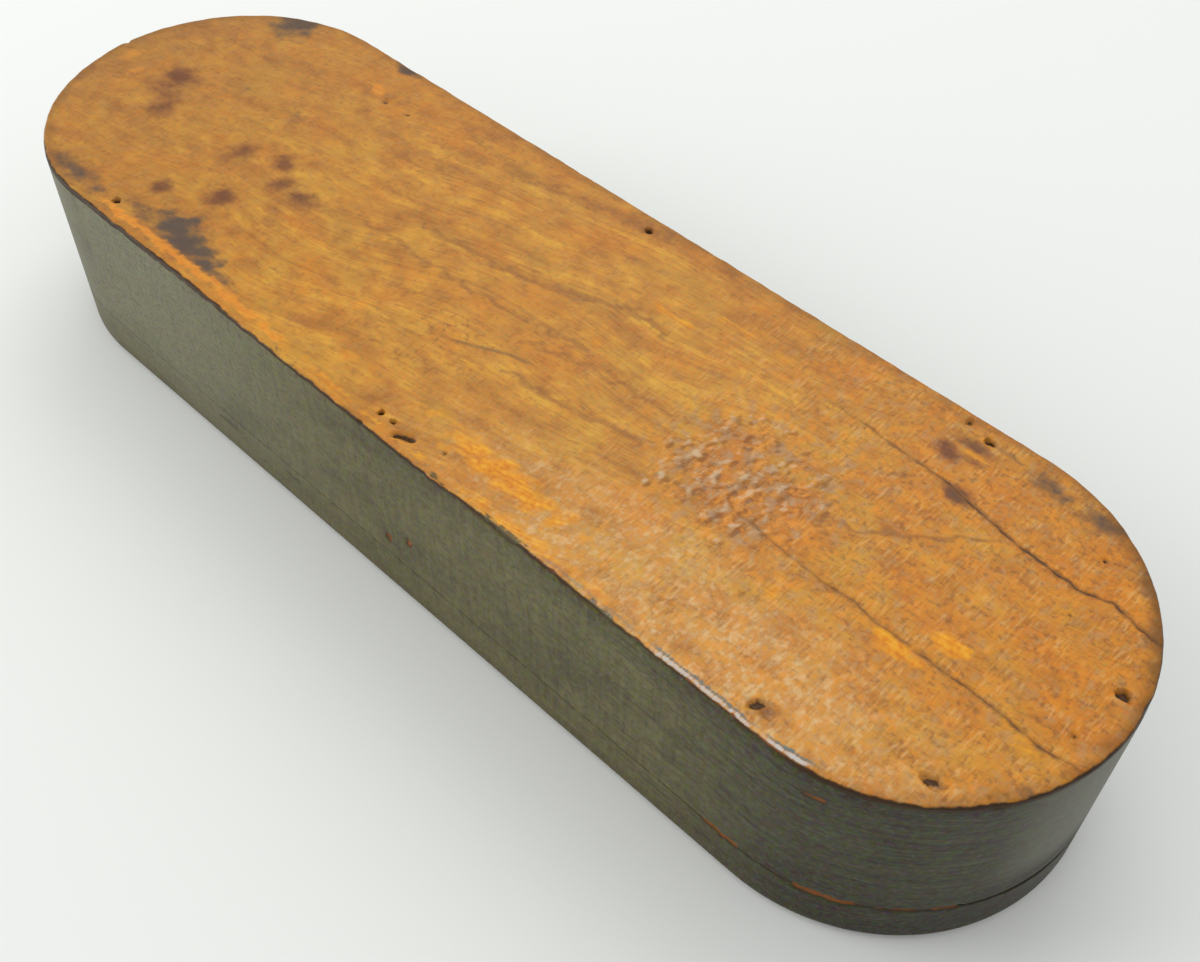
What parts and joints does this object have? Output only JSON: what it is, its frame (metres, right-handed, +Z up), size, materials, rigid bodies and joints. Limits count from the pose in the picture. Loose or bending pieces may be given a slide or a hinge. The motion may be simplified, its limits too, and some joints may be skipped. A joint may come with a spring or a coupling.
{
  "type": "pencil box",
  "caption": "Long wooden pencil box with straight sides and round ends: a shallow tray below, and a deep shell with a nailed, varnished board that swings up on hinges at the back.",
  "frame": {"origin": "middle of the flat bottom face that the box lies on", "axes": "+X along the box, +Y to the hinges at the back, +Z up to the varnished board"},
  "size_m": [0.212, 0.0666, 0.0373],
  "materials": {
    "varnished_wood": "worn shellac varnish on a pale board, orange-brown with dark stains, satin",
    "painted_wood": "old grey-green paint on wood, dull, chipped to bare wood at the edges",
    "iron": "rusted wire nails",
    "brass": "tarnished sheet brass"
  },
  "bodies": {
    "lower_section": {"lower_board": "painted_wood", "lower_front_rail": "painted_wood", "lower_back_rail": "painted_wood", "lower_left_end": "painted_wood", "lower_right_end": "painted_wood", "lower_board_nails": "iron", "left_hinge_lower_leaf": "brass", "right_hinge_lower_leaf": "brass", "left_hinge_pin": "brass", "right_hinge_pin": "brass", "lower_leaf_nails": "brass"},
    "upper_section": {"top_board": "varnished_wood", "upper_front_rail": "painted_wood", "upper_back_rail": "painted_wood", "upper_left_end": "painted_wood", "upper_right_end": "painted_wood", "top_board_nails": "iron", "left_hinge_upper_leaf": "brass", "right_hinge_upper_leaf": "brass", "upper_leaf_nails": "brass"}
  },
  "joints": [
    {"name": "shell_hinge", "type": "hinge", "parent": "lower_section", "child": "upper_section", "pos_m": [0, 0.0335, 0.00895], "axis": [-1, 0, 0], "range_deg": [0, 110]}
  ]
}
